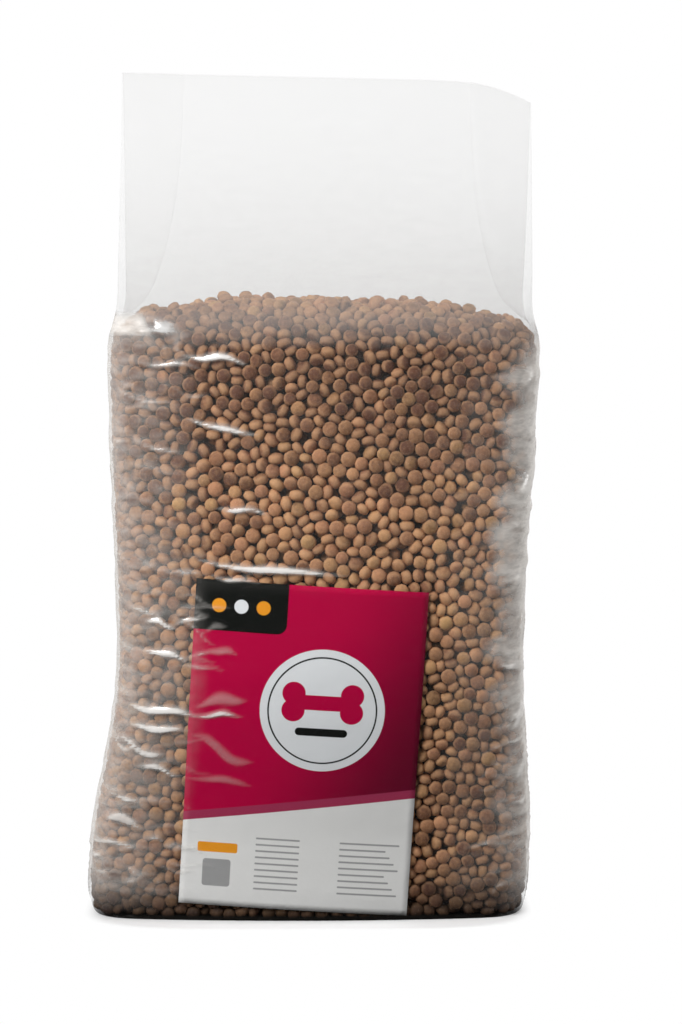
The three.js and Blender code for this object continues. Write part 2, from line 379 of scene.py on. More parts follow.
def pleatField(side, height, middle, level, half, fall, width):
    # a crease's rise, and how deep each place lies in the painted highlight on its face: a bent lens with a
    # sharp lower edge
    along = (side - middle) / half
    bend = film["streakWave"] * np.sin(4.2 * along + 90 * level)
    above = height - (level + bend - fall * (along + 0.4 * np.sin(2.6 * along + 40 * level)))
    taper = np.clip(1 - along ** 2, 0, 1) ** 0.8
    upper, lower = width * taper + 0.3 * mm, film["lowerFace"] * width
    face = np.where(above > 0, 1 - above / upper, 1 + above / lower)
    lens = width * (1 - along ** 2)
    below = film["streakBelow"]
    depth = np.minimum(above + below * lens, film["softSide"] * ((1 - below) * lens - above))
    return film["slope"] * width * taper * np.clip(face, 0, 1), depth


def pleatRows():
    draw = np.random.default_rng(film["seed"])
    share = film["riseShare"]
    rows = [(row, share[name]) for name in ("pleats", "folds") for row in film[name]]
    lowest, span, crowd = film["fineLevels"]
    for count, first, last, meanFall, brightest in film["finePleats"].values():
        for _ in range(count):
            middle = draw.uniform(first, last)
            level = lowest + span * draw.random() ** crowd
            half = draw.uniform(*film["fineHalves"])
            bright = brightest * draw.uniform(*film["fineDimming"])
            fall = draw.normal(meanFall, film["fineFallSpread"])
            width = draw.uniform(*film["fineWidths"])
            rows.append(((middle, level, half, fall, width, bright), share["finePleats"]))
    return rows


def filmField(side, height, shoulder):
    field = np.zeros_like(height)
    within = np.full_like(height, -film["streakReach"])
    paintedGlint = np.zeros_like(height)
    for (middle, level, half, fall, width, bright), share in pleatRows():
        rise, depth = pleatField(side, height, middle * mm, level * mm, half * mm, fall * mm, width * mm)
        field = np.maximum(field, np.minimum(share * rise, film["mostRise"]))
        depth -= (1 - bright) * film["faintSink"]
        paintedGlint = np.where(depth > within, bright, paintedGlint)
        within = np.maximum(within, depth)
    middle, reachOut = film["slackSide"]
    slack = np.exp(-((np.abs(side) - middle) / reachOut) ** 2) * ramp(height, *film["slackFoot"])
    slack *= ramp(height, shoulder + film["slackTop"], shoulder - film["slackTop"])
    short = np.sin(height / 0.0062 + 14 * side + 2 * np.sin(height / 0.031))  # uneven waves up the bag
    wave = 0.5 + 0.3 * short * np.sin(height / 0.023 + 1.7)
    wave += 0.2 * np.sin(height / 0.019 + 3 * np.sin(height / 0.07))
    return field + film["sideWave"] * slack * wave, paintedGlint, within / film["streakReach"]


def filmSurface():
    rings = filmRings()
    waist = rings[len(rings) // 2]
    acrossLengths = np.linalg.norm(np.roll(waist, -1, 0) - waist, axis=1)
    middles = (np.roll(waist, -1, 0) + waist)[:, 1] / 2
    columns = spread(acrossLengths, np.where(middles < 2 * mm, film["frontStep"], film["backStep"]))
    columns = np.append(columns, len(waist))
    upLengths = np.linalg.norm(np.diff(rings, axis=0), axis=2).mean(1)
    heights = rings[:, :, 2].mean(1)
    foot = film["footLevels"]
    shoulder = heights[foot + int(np.argmin(upLengths[foot:]))]  # the levels crowd where the header begins
    rows = spread(upLengths, np.where(heights[:-1] < shoulder, film["bodyRow"], film["headerRow"]))
    rows = np.append(rows, len(rings) - 1)
    places = splineAcross(splineUp(rings, rows), columns)
    steps = np.linalg.norm(np.diff(places[len(rows) // 2], axis=0), axis=1)
    side = np.concatenate([[0], np.cumsum(steps)])
    girth = side[-1]
    side = np.broadcast_to(np.where(side > girth / 2, side - girth, side), places.shape[:2])
    acrossWay = np.roll(places[:, :-1], -1, 1) - np.roll(places[:, :-1], 1, 1)
    acrossWay = np.concatenate([acrossWay, acrossWay[:, :1]], 1)
    outward = np.cross(acrossWay, np.gradient(places, axis=0))
    outward /= np.linalg.norm(outward, axis=2, keepdims=True)
    height = places[:, :, 2].copy()
    field, paintedGlint, within = filmField(side, height, shoulder)
    field *= ramp(height, *film["plainFoot"])
    places = places + outward * field[:, :, None]
    header = ramp(height - shoulder, *film["headerRamp"])
    sway = np.sin(places[:, :, 0] / 0.071 + 1.3 * np.sin(height / 0.09)) * np.sin(height / 0.083 + 0.6)
    places[:, :, 1] += film["headerWave"] * header * sway
    return places, filmTraits(side, height, shoulder, paintedGlint, within), shoulder


def filmTraits(side, height, shoulder, paintedGlint, within):
    # haze of the film, its shine and how much it whitens seen edge on
    rise = height - shoulder
    up = ramp(height, shoulder, height.max())
    back = np.abs(side) > film["creaseSide"]
    out = np.minimum(np.abs(side), np.abs(side).max() - np.abs(side))  # from a panel's middle
    foot = ramp(height, *film["footRamp"])

    # the body: plain on the print, cloudy at the left and in a ragged band at the right
    corner = 1 - ramp(out, *film["cornerRamp"])
    low = 1 + film["lowLeft"] * ramp(height, *film["lowLeftRamp"])
    left = film["leftHaze"] * low * ramp(out, *film["leftRamp"]) * (0.5 + 0.5 * corner)
    left += film["leftEdgeHaze"] * ramp(out, *film["leftEdgeRamp"]) * corner
    wander = 0.6 * np.sin(height / 0.0145 + 2 * np.sin(height / 0.041))
    wander += 0.4 * np.sin(height / 0.0062 + 1.3)
    band = ramp(out + film["edgeWander"] * wander, *film["rightEdgeRamp"]) * corner
    # painted shade: the band thins towards the foot
    band *= fadeIn(film["bandLeast"], height, *film["bandFoot"])
    band *= fadeIn(film["bandLeast"], rise, *film["bandTop"])
    right = film["rightHaze"] * ramp(out, *film["rightRamp"]) + film["rightEdgeHaze"] * band
    sheet = ramp(height, *film["sheetTop"]) * ramp(out, *film["sheetSide"])
    body = np.where(side < 0, left, right) * np.where(back, film["backShare"], 1)
    body = (film["bodyHaze"] * (1 - film["sheetClear"] * sheet) + body) * foot

    # the header: thickest over the food, and clear where the gussets are tucked in
    begin = np.where(back, film["backVeil"], film["frontVeil"])
    over = ramp(rise, begin, film["fullVeil"]) ** film["veilBend"]
    header = film["highHaze"] + (film["lowHaze"] - film["highHaze"]) * (1 - up) ** film["headerFade"]
    header *= 1 - film["tuckClear"] * ramp(out, *film["tuckSide"]) * ramp(up, *film["tuckUp"])
    flap = np.ones_like(height)
    for values, limits in ((side, film["flapSides"]), (rise, film["flapRises"])):
        for limit in limits:
            flap *= ramp(values, *limit)
    haze = body * (1 - over) + header * over + film["flapHaze"] * flap

    shine = np.maximum(fadeIn(film["dullLeast"], rise, *film["shineRamp"]) * foot, flap)
    # the painted highlights fade over the header and at the foot
    paintedGlint = paintedGlint * fadeIn(film["dullLeast"], rise, *film["brightRamp"]) * foot
    edge = (1 - film["edgeLoss"] * over) * (0.1 + 0.9 * foot)
    # painted shadow at the foot, weaker towards the sides
    base = ramp(height, *film["baseRamp"]) * fadeIn(film["baseLeast"], out, *film["baseSide"])
    return {"paintedGlint": paintedGlint, "within": within, "haze": haze, "shine": shine, "edge": edge, "base": base}


def filmPiece():
    places, traits, shoulder = filmSurface()
    rows, columns = places.shape[:2]
    bm = bmesh.new()
    bmesh.ops.create_grid(bm, x_segments=columns - 1, y_segments=rows - 1, size=1.0)
    layers = {name: bm.verts.layers.float.new(name) for name in traits}
    sheet = sorted(bm.verts, key=lambda v: (round(v.co.y, 6), round(v.co.x, 6)))
    flat = {name: values.reshape(-1) for name, values in traits.items()}
    for number, (vert, place) in enumerate(zip(sheet, places.reshape(-1, 3))):
        vert.co = place
        for name, layer in layers.items():
            vert[layer] = flat[name][number]
    bmesh.ops.remove_doubles(bm, verts=bm.verts, dist=0.01 * mm)
    base = [e for e in bm.edges if e.is_boundary and max(v.co.z for v in e.verts) < 1 * mm]
    bmesh.ops.contextual_create(bm, geom=base)
    bmesh.ops.recalc_face_normals(bm, faces=bm.faces)
    bmesh.ops.solidify(bm, geom=bm.faces[:], thickness=film["wall"])
    piece = objectFrom(bm, "film_bag_clear")
    print("film grid", rows, "x", columns, "faces", len(piece.data.polygons), "shoulder", round(shoulder, 3))
    finishPiece(piece, "film_bag", filmMaterial())


def filmMaterial():
    material, tree = newMaterial("clearFilm")
    link = tree.links.new
    trait = {name: attribute(tree, name) for name in ("paintedGlint", "within", "haze", "shine", "edge", "base")}
    stretch = addNode(tree, "ShaderNodeVectorMath", operation="MULTIPLY")
    stretch.inputs[1].default_value = film["rippleStretch"]
    link(addNode(tree, "ShaderNodeTexCoord").outputs["Object"], stretch.inputs[0])
    ripple = noise(tree, stretch.outputs[0], *film["ripple"])

    # painted highlights on the pleats' faces, with frayed edges, and the whitening of film that is seen edge
    # on
    ragged = mathNode(tree, "MULTIPLY_ADD", ripple, film["ragged"], -film["ragged"] / 2)
    ragged = mathNode(tree, "ADD", ragged, trait["within"])
    patch = mathNode(tree, "MULTIPLY", smoothStep(tree, ragged, *film["patchEdge"]), trait["paintedGlint"])
    crest = smoothStep(tree, trait["paintedGlint"], *film["crestBright"])
    crest = mathNode(tree, "MULTIPLY", smoothStep(tree, ragged, *film["crestEdge"]), crest)
    facing = addNode(tree, "ShaderNodeLayerWeight", Blend=0.5).outputs["Facing"]
    grazing = mathNode(tree, "POWER", facing, film["grazingBend"])
    grazing = mathNode(tree, "MULTIPLY", grazing, trait["edge"])

    # clear film under a veil of haze, which the painted highlights whiten, with a painted shadow over it at
    # the foot
    cloud = mathNode(tree, "MULTIPLY_ADD", ripple, film["cloud"], -film["cloud"] / 2)
    cloud = mathNode(tree, "MULTIPLY_ADD", cloud, trait["shine"], 1.0)
    haze = mathNode(tree, "MULTIPLY", trait["haze"], cloud, clamp=True)
    for mask, share in ((grazing, "grazingHaze"), (patch, "patchPaintedHighlight"), (crest, "crestPaintedHighlight")):
        haze = mathNode(tree, "MULTIPLY_ADD", mask, film[share], haze, clamp=True)
    clear = addNode(tree, "ShaderNodeBsdfTransparent", Color=(1, 1, 1, 1))
    veil = addNode(tree, "ShaderNodeBsdfDiffuse")
    # the body's haze takes the paler colour, partly painted light
    link(mixColour(tree, trait["shine"], film["veil"], film["foldVeil"]), veil.inputs["Color"])
    body = mixShader(tree, haze, clear, veil)
    paintedFootShadow = addNode(tree, "ShaderNodeBsdfDiffuse", Color=(*film["footShadowColour"], 1))
    body = mixShader(tree, mathNode(tree, "MULTIPLY", trait["base"], film["footShadowCover"]), body, paintedFootShadow)

    # gloss, most of it on the crests
    gloss = addNode(tree, "ShaderNodeBsdfGlossy", Color=(1, 1, 1, 1), Roughness=film["glossRough"])
    link(bump(tree, ripple, *film["rippleBump"]), gloss.inputs["Normal"])
    mirrored = addNode(tree, "ShaderNodeFresnel", IOR=film["ior"]).outputs[0]
    weight = mathNode(tree, "MULTIPLY", mirrored, film["gloss"])
    weight = mathNode(tree, "MULTIPLY_ADD", grazing, film["grazingGloss"], weight)
    weight = mathNode(tree, "MULTIPLY", weight, trait["shine"])
    weight = mathNode(tree, "MULTIPLY_ADD", crest, film["crestGloss"], weight, clamp=True)
    endTree(tree, mixShader(tree, weight, body, gloss))
    return material


# The kibbles: bevelled discs packed against the bag's inside, two deep, round a core that painted shade
# darkens

kibble = {
    "radius": 7.1 * mm,
    "half": 4.4 * mm,  # half its thickness
    "edge": 2.2 * mm,
    "dome": 1.1 * mm,  # rise of its faces
    "sides": {"outer": 10, "under": 8},
    "sizes": (0.9, 1.12),
    # the heap's surface, from the CAD heap
    "smoothing": (0.5, -0.53),  # takes the relief away and leaves the form
    "smoothRounds": 5,
    "swell": 6.5 * mm,  # from the smoothed CAD heap to the kibbles' faces, on its top
    "rimSwell": 22 * mm,
    "sideSwell": 15 * mm,
    "topFacing": 0.92,  # how far a normal points up on the top, and on its rim
    "rimFacing": 0.3,
    "clear": 1.8 * mm,  # left to the film and the sheet
    "easing": 0.25,  # smooths the surface that was let out
    "easeRounds": 2,
    "footHeight": 45 * mm,  # up to here the heap is pressed out into the bag's corners
    # the packing
    "seed": 5,
    "apart": {"outer": 9.5 * mm, "under": 11.0 * mm},  # least distance, before they are pushed apart
    "tries": 20e-6,  # square metres of surface for each place that is tried
    "flatShare": 0.34,  # lie flat against the film
    "leanShare": 0.58,  # flat or leaning, and the others stand on edge
    "flatLean": (0, 0.3),
    "someLean": (0.35, 1.2),
    "edgeLean": (1.3, 1.57),
    "secondDepth": 11 * mm,
    "coreDepth": 17 * mm,
    "rounds": 46,
    "nearBy": 2.4,  # radii within which two kibbles may touch
    "nearRounds": 5,  # rounds between two looks for neighbours
    "push": 0.42,  # share of an overlap that each of the two gives way
    "pull": 0.25,  # how fast the outer ones return to the film
    "loose": (-4, 4.5),  # millimetres up or down, on the top
    "looseFacing": (0.8, 0.95),
    # tones from dark to light, less painted shade by place, where a negative amount lightens again: axis,
    # from, to, how much
    "tone": 0.66,
    "toneSpread": 0.22,
    "paintedShades": [
        (2, 0.42, 0.56, 0.6), (2, 0.06, 0.012, 0.2), (2, 0.58, 0.612, -0.55),
        (0, -0.06, -0.19, 0.34), (0, 0.09, 0.16, 0.08),
    ],
    "lowRightPaintedShade": ((0.09, 0.16), (0.3, 0.12), 0.22),  # painted shade at the lower right: out to the right, down, how much more
    # painted shade: the kibbles of the second layer are darker
    "underPaintedShade": 0.04,
    "goldenShare": (0.35, 0.3),  # mean and spread
    "footPaintedLighting": 0.1,  # painted shade: the kibbles darken towards the foot, where the bag's underside is in shadow
    "footRamp": (4 * mm, 62 * mm),
    # painted shade: the deep core is darkened to read as the shade between kibbles
    "corePaintedLighting": 0.3,
    # the finish
    "dark": srgb(94, 58, 41),
    "light": srgb(192, 138, 101),
    "golden": srgb(198, 155, 104),
    "skin": srgb(212, 164, 122),  # the paler baked side
    "skinShare": 0.4,
    "mottle": (260.0, 3.0, 0.6),
    "mottling": 0.9,
    "grain": (1400.0, 2.0, 0.6),
    "grainBump": (0.8, 0.6 * mm),
    "rough": 0.72,
    "specular": 0.25,
}


def smoothed(bm, factor):
    bmesh.ops.smooth_vert(bm, verts=bm.verts, factor=factor,
                          use_axis_x=True, use_axis_y=True, use_axis_z=True)


def heapSurface():
    # the CAD heap's mean surface, let out to the film and the sheet that it presses on
    bm = mergedCopy("kibble_fill")
    for factor in kibble["smoothing"] * kibble["smoothRounds"]:
        smoothed(bm, factor)
    bm.normal_update()
    tree = cadTree("film_bag", "label_sheet")
    for vert in bm.verts:
        up = vert.normal.z
        most = kibble["rimSwell"] if up > kibble["rimFacing"] else kibble["sideSwell"]
        if up > kibble["topFacing"]:
            most = kibble["swell"]
        gap = tree.ray_cast(vert.co, vert.normal)[3]
        vert.co += vert.normal * (min(gap - kibble["clear"], most) if gap else most)
        vert.co.z = max(vert.co.z, kibble["clear"])
    for _ in range(kibble["easeRounds"]):
        smoothed(bm, kibble["easing"])
    bm.normal_update()
    for vert in bm.verts:
        if vert.co.z < kibble["footHeight"]:
            gap = tree.ray_cast(vert.co, vert.normal)[3]
            if gap:
                vert.co += vert.normal * max(0, min(gap - kibble["clear"], kibble["sideSwell"]))
            vert.co.z = max(vert.co.z, kibble["clear"])
    bm.normal_update()
    return bm


def samplePoints(bm, apart, draw):
    # random places on a surface, with none nearer than apart and no hole left between them
    corners = np.array([[loop.vert.co for loop in t] for t in bm.calc_loop_triangles()])
    across = np.cross(corners[:, 1] - corners[:, 0], corners[:, 2] - corners[:, 0])
    areas = np.linalg.norm(across, axis=1) / 2
    total = areas.sum()
    picks = draw.choice(len(areas), int(total / kibble["tries"]), p=areas / total)
    first, second = draw.random(len(picks)), draw.random(len(picks))
    folded = first + second > 1
    first, second = np.where(folded, 1 - first, first), np.where(folded, 1 - second, second)
    base, one, two = corners[picks, 0], corners[picks, 1], corners[picks, 2]
    places = base + first[:, None] * (one - base) + second[:, None] * (two - base)
    pairs = nearPairs(places, apart)
    keep = [True] * len(places)
    for i, j in pairs[np.lexsort((pairs[:, 1], pairs[:, 0]))].tolist():
        if keep[i]:
            keep[j] = False
    return places[keep], (across[picks] / (2 * areas[picks, None]))[keep]


def unit(vectors):
    return vectors / np.maximum(np.linalg.norm(vectors, axis=-1, keepdims=True), 1e-9)


def reach(axes, ways, sizes):
    # how far a disc reaches along a direction, between a flat spheroid and a cylinder
    along = np.clip(np.abs(np.einsum("ij,ij->i", axes, ways)), 0, 1)
    power = (kibble["radius"] * np.sqrt(1 - along ** 2)) ** 1.5 + (kibble["half"] * along) ** 1.5
    return sizes * power ** (2 / 3)


def nearPairs(places, distance):
    # index pairs closer than distance, by sorting the points into cubes
    cells = np.floor(places / distance).astype(int)
    cells -= cells.min(0) - 1
    span = cells.max(0) + 2
    keys = (cells[:, 0] * span[1] + cells[:, 1]) * span[2] + cells[:, 2]
    order = np.argsort(keys, kind="stable")
    sortedKeys = keys[order]
    found = []
    for dx, dy, dz in np.ndindex(3, 3, 3):
        shifted = keys + ((dx - 1) * span[1] + dy - 1) * span[2] + dz - 1
        low = np.searchsorted(sortedKeys, shifted, "left")
        high = np.searchsorted(sortedKeys, shifted, "right")
        counts = high - low
        first = np.repeat(np.arange(len(keys)), counts)
        offsets = np.arange(counts.sum()) - np.repeat(np.cumsum(counts) - counts, counts)
        second = order[np.repeat(low, counts) + offsets]
        keep = first < second
        found.append(np.stack([first[keep], second[keep]], 1))
    pairs = np.concatenate(found)
    gaps = np.linalg.norm(places[pairs[:, 0]] - places[pairs[:, 1]], axis=1)
    return pairs[gaps < distance]


def pushApart(places, axes, sizes, outer, tree):
    # the kibbles give way to each other and stay behind the heap's surface
    count = len(places)
    for turn in range(kibble["rounds"]):
        if turn % kibble["nearRounds"] == 0:
            pairs = nearPairs(places, kibble["nearBy"] * kibble["radius"])
        i, j = pairs[:, 0], pairs[:, 1]
        between = places[j] - places[i]
        gap = np.linalg.norm(between, axis=1)
        way = between / np.maximum(gap, 1e-9)[:, None]
        overlap = reach(axes[i], way, sizes[i]) + reach(axes[j], way, sizes[j]) - gap
        push = way * (kibble["push"] * np.clip(overlap, 0, None))[:, None]
        for axis in range(3):
            places[:, axis] += np.bincount(j, push[:, axis], count) - np.bincount(i, push[:, axis], count)
        found = [tree.find_nearest(place) for place in places]
        spots = np.array([f[0] for f in found])
        outward = np.array([f[1] for f in found])
        depth = -np.einsum("ij,ij->i", places - spots, outward)
        short = reach(axes, outward, sizes) - depth
        back = np.where(short > 0, short, np.where(outer, kibble["pull"] * short, 0))
        places -= outward * back[:, None]
    return outward


def packKibbles(bm, tree):
    draw = np.random.default_rng(kibble["seed"])
    first, firstOut = samplePoints(bm, kibble["apart"]["outer"], draw)
    second, secondOut = samplePoints(bm, kibble["apart"]["under"], draw)
    outward = np.concatenate([firstOut, secondOut])
    outer = np.arange(len(outward)) < len(first)
    count = len(outward)
    kind = draw.random(count)
    loose = unit(draw.normal(size=(count, 3)))
    flatWay = unit(loose - outward * np.einsum("ij,ij->i", loose, outward)[:, None])
    flat, some = draw.uniform(*kibble["flatLean"], count), draw.uniform(*kibble["someLean"], count)
    lean = np.where(kind < kibble["flatShare"], flat, some)
    lean = np.where(kind > kibble["leanShare"], draw.uniform(*kibble["edgeLean"], count), lean)
    axes = outward * np.cos(lean)[:, None] + flatWay * np.sin(lean)[:, None]
    sizes = draw.uniform(*kibble["sizes"], count)
    deep = np.where(outer, 0.0, kibble["secondDepth"])
    places = np.concatenate([first, second])
    places -= outward * (reach(axes, outward, sizes) + deep)[:, None]
    outward = pushApart(places, axes, sizes, outer, tree)
    onTop = ramp(outward[:, 2], *kibble["looseFacing"])
    places[:, 2] += draw.uniform(*kibble["loose"], count) * mm * onTop
    # painted shade by place, taken off each kibble's tone
    paintedShade = kibble["underPaintedShade"] * (~outer)
    for axis, low, high, much in kibble["paintedShades"]:
        paintedShade += much * ramp(places[:, axis], low, high)
    rightward, downward, much = kibble["lowRightPaintedShade"]
    paintedShade += much * ramp(places[:, 0], *rightward) * ramp(places[:, 2], *downward)
    shadedTones = np.clip(kibble["tone"] + kibble["toneSpread"] * draw.normal(size=count) - paintedShade, 0, 1)
    golden = np.clip(draw.normal(*kibble["goldenShare"], count), 0, 1)
    # painted shade: darker towards the foot
    paintedLighting = fadeIn(kibble["footPaintedLighting"], places[:, 2], *kibble["footRamp"])
    spins = draw.uniform(0, 2 * math.pi, count)
    print("kibbles packed:", count, "of them outside:", len(first))
    return places, axes, sizes, spins, {"tone": shadedTones, "golden": golden, "paintedLighting": paintedLighting}, outward, outer


def kibbleShape(sides):
    bm = bmesh.new()
    bmesh.ops.create_cone(bm, cap_ends=True, segments=sides, radius1=kibble["radius"],
                          radius2=kibble["radius"], depth=2 * kibble["half"])
    rims = [e for e in bm.edges if abs(e.verts[0].co.z - e.verts[1].co.z) < 1e-6]
    bmesh.ops.bevel(bm, geom=rims, offset=kibble["edge"], affect="EDGES",
                    segments=1, profile=0.5, material=-1)
    for cap in bmesh.ops.poke(bm, faces=[f for f in bm.faces if len(f.verts) == sides])["verts"]:
        cap.co.z *= 1 + kibble["dome"] / kibble["half"]
    skin = bm.verts.layers.float.new("skin")
    for vert in bm.verts:
        vert[skin] = float(abs(vert.co.z) < kibble["half"] - 1e-5)
    mesh = bpy.data.meshes.new("kibbleShape")
    bm.to_mesh(mesh)
    bm.free()
    return mesh


def setTrait(piece, name, values):
    layer = piece.data.attributes.new(name, "FLOAT", "POINT")
    layer.data.foreach_set("value", np.asarray(values, np.float32))


def kibblePieces(material):
    heap = heapSurface()
    places, axes, sizes, spins, traits, outward, outer = packKibbles(heap, BVHTree.FromBMesh(heap))
    shapes = {name: kibbleShape(sides) for name, sides in kibble["sides"].items()}
    right = places[:, 0] > 0
    front, back = outward[:, 1] < -0.6, outward[:, 1] > 0.6
    level = ~(front | back)
    top, base = level & (outward[:, 2] > 0.7), level & (outward[:, 2] < -0.7)
    flank = level & ~(top | base)
    groups = {
        "front_left": front & ~right, "front_right": front & right,
        "back_left": back & ~right, "back_right": back & right,
        "left_side": flank & ~right, "right_side": flank & right, "top": top, "base": base,
    }
    for name, chosen in groups.items():
        members = np.flatnonzero(chosen)
        bm = bmesh.new()
        counts = []
        for n in members:
            shape = shapes["outer" if outer[n] else "under"]
            turn = Vector(axes[n]).to_track_quat("Z", "Y").to_matrix().to_4x4()
            place = Matrix.Translation(places[n]) @ turn @ Matrix.Rotation(spins[n], 4, "Z")
            place = place @ Matrix.Scale(sizes[n], 4)
            shape.transform(place)
            bm.from_mesh(shape)
            shape.transform(place.inverted())
            counts.append(len(shape.vertices))
        piece = objectFrom(bm, "kibbles_" + name)
        for trait, values in traits.items():
            setTrait(piece, trait, np.repeat(values[members], counts))
        finishPiece(piece, "kibble_fill", material)
        triangles = sum(len(f.vertices) - 2 for f in piece.data.polygons)
        print("kibbles", name, len(members), "triangles", triangles)
    for vert in heap.verts:
        vert.co -= vert.normal * kibble["coreDepth"]
    core = objectFrom(heap, "kibbles_deep")
    # painted shade on the core
    setTrait(core, "paintedLighting", [kibble["corePaintedLighting"]] * len(core.data.vertices))
    finishPiece(core, "kibble_fill", material)


def kibbleMaterial():
    material, tree = newMaterial("bakedKibble")
    spot = addNode(tree, "ShaderNodeTexCoord").outputs["Object"]
    mottle = noise(tree, spot, *kibble["mottle"])
    patch = mathNode(tree, "MULTIPLY_ADD", mottle, kibble["mottling"], -kibble["mottling"] / 2)
    # the tone attribute holds random tone less painted shade
    shade = mathNode(tree, "ADD", attribute(tree, "tone"), patch, clamp=True)
    pale = mixColour(tree, attribute(tree, "golden"), kibble["light"], kibble["golden"])
    colour = mixColour(tree, shade, kibble["dark"], pale)
    skin = mathNode(tree, "MULTIPLY", attribute(tree, "skin"), kibble["skinShare"])
    colour = mixColour(tree, skin, colour, kibble["skin"])
    # painted shade: the paintedLighting attribute darkens the colour towards black
    colour = mixColour(tree, attribute(tree, "paintedLighting"), (0, 0, 0), colour)
    normal = bump(tree, noise(tree, spot, *kibble["grain"]), *kibble["grainBump"])
    endOpaque(tree, colour, normal, kibble["rough"], kibble["specular"])
    return material


# The printed sheet: a plain layout of colour fields on a sheet that follows the CAD sheet

label = {
    "columns": 36,
    "rows": 52,
    "thick": 0.2 * mm,
    # colours
    "crimson": srgb(187, 3, 65),
    "deepCrimson": srgb(104, 8, 40),
    "pink": srgb(168, 56, 90),
    "pale": srgb(238, 238, 236),
    "white": srgb(234, 237, 239),
    "black": srgb(14, 16, 14),
    "grey": srgb(166, 166, 166),
    "orange": srgb(242, 160, 44),
    # layout, in the print's own millimetres from its lower left corner
    "width": 230,
    "height": 332,
    "shadeRise": -0.45,  # the crimson darkens to the lower right
    "shadeRamp": (0, 170),
    "fieldHeight": 86,  # of the pale field at the left edge
    "fieldRise": 0.16,
    "pinkWidth": 9.0,
    "sharp": 0.3,  # half the width of an edge
    "tab": (30, 320, 62, 38, 10),  # x, y, half width, half height, corner
    "bar": (36, 60, 20, 5, 2),
    "square": (36, 34, 14, 14, 3),
    "discs": {"x": 24, "step": 22, "y": 307, "radius": 7, "colours": ("orange", "white", "orange")},
    "badge": {"x": 132, "y": 208, "radius": 62, "ring": 54.5, "ringWidth": 1.6},
    "bone": {"length": 58, "thick": 15, "corner": 2, "knob": 11.5, "knobApart": 0.75, "above": 8},
    "dash": {"below": 22, "half": 26, "thick": 4},
    "rules": {"count": 9, "top": 72, "step": 6.5, "thick": 0.9, "corner": 0.8},
    "evenRules": (96, 22),  # middle, half length
    "raggedRules": (158, 30, 9),  # start, longest half, most loss
    # the finish
    "paper": (55.0, 3.0, 0.55),
    "paperBump": (0.25, 2 * mm),
    "rough": 0.45,
    "specular": 0.03,
}


def roundedBoxGroup():
    # a mask of a rounded rectangle on the print, in millimetres
    group = bpy.data.node_groups.new("roundedBox", "ShaderNodeTree")
    face = group.interface
    for name in ("Place", "Middle", "Half"):
        face.new_socket(name, in_out="INPUT", socket_type="NodeSocketVector")
    face.new_socket("Corner", in_out="INPUT", socket_type="NodeSocketFloat")
    face.new_socket("Mask", in_out="OUTPUT", socket_type="NodeSocketFloat")
    inside = addNode(group, "NodeGroupInput").outputs

    def vector(operation, *values):
        node = addNode(group, "ShaderNodeVectorMath", operation=operation)
        for socket, value in zip(node.inputs, values):
            feed(group, socket, value)
        return node.outputs["Value" if operation == "LENGTH" else "Vector"]

    core = vector("SUBTRACT", inside["Half"], inside["Corner"])
    away = vector("ABSOLUTE", vector("SUBTRACT", inside["Place"], inside["Middle"]))
    away = vector("MULTIPLY", vector("SUBTRACT", away, core), (1, 1, 0))
    outside = vector("LENGTH", vector("MAXIMUM", away, (0, 0, 0)))
    split = addNode(group, "ShaderNodeSeparateXYZ")
    group.links.new(away, split.inputs[0])
    depth = mathNode(group, "MAXIMUM", split.outputs["X"], split.outputs["Y"])
    depth = mathNode(group, "MINIMUM", depth, 0.0)
    distance = mathNode(group, "SUBTRACT", mathNode(group, "ADD", outside, depth), inside["Corner"])
    mask = mathNode(group, "MULTIPLY_ADD", distance, -2.0, 0.5, clamp=True)  # an edge half a millimetre wide
    group.links.new(mask, addNode(group, "NodeGroupOutput").inputs["Mask"])
    return group


def sheetPiece():
    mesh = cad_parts["label_sheet"].data
    flat = np.array([(v.co.x, v.co.z) for v in mesh.vertices])
    lowLeft, lowRightPaintedShade, highLeft, highRight = (
        flat[np.argmax(flat @ np.array(way, float))] for way in ((-1, -1), (1, -1), (-1, 1), (1, 1)))
    tree = cadTree("label_sheet")
    bm = bmesh.new()
    bmesh.ops.create_grid(bm, x_segments=label["columns"], y_segments=label["rows"], size=0.5)
    uvLayer = bm.loops.layers.uv.new("print")
    for face in bm.faces:
        for loop in face.loops:
            loop[uvLayer].uv = (loop.vert.co.x + 0.5, loop.vert.co.y + 0.5)
    for vert in bm.verts:
        u, v = vert.co.x + 0.5, vert.co.y + 0.5
        low = lowLeft * (1 - u) + lowRightPaintedShade * u
        high = highLeft * (1 - u) + highRight * u
        x, z = low * (1 - v) + high * v
        spot = tree.ray_cast(Vector((x, -1, z)), Vector((0, 1, 0)))[0]
        if spot is None:
            spot = tree.find_nearest(Vector((x, cadBox[0][1], z)))[0]
        vert.co = (x, spot.y, z)
    bm.normal_update()
    if sum(f.normal.y for f in bm.faces) > 0:
        bmesh.ops.reverse_faces(bm, faces=bm.faces)
    bmesh.ops.solidify(bm, geom=bm.faces[:], thickness=label["thick"])
    piece = objectFrom(bm, "printed_sheet_paper")
    print("sheet faces", len(piece.data.polygons))
    finishPiece(piece, "label_sheet", sheetMaterial())


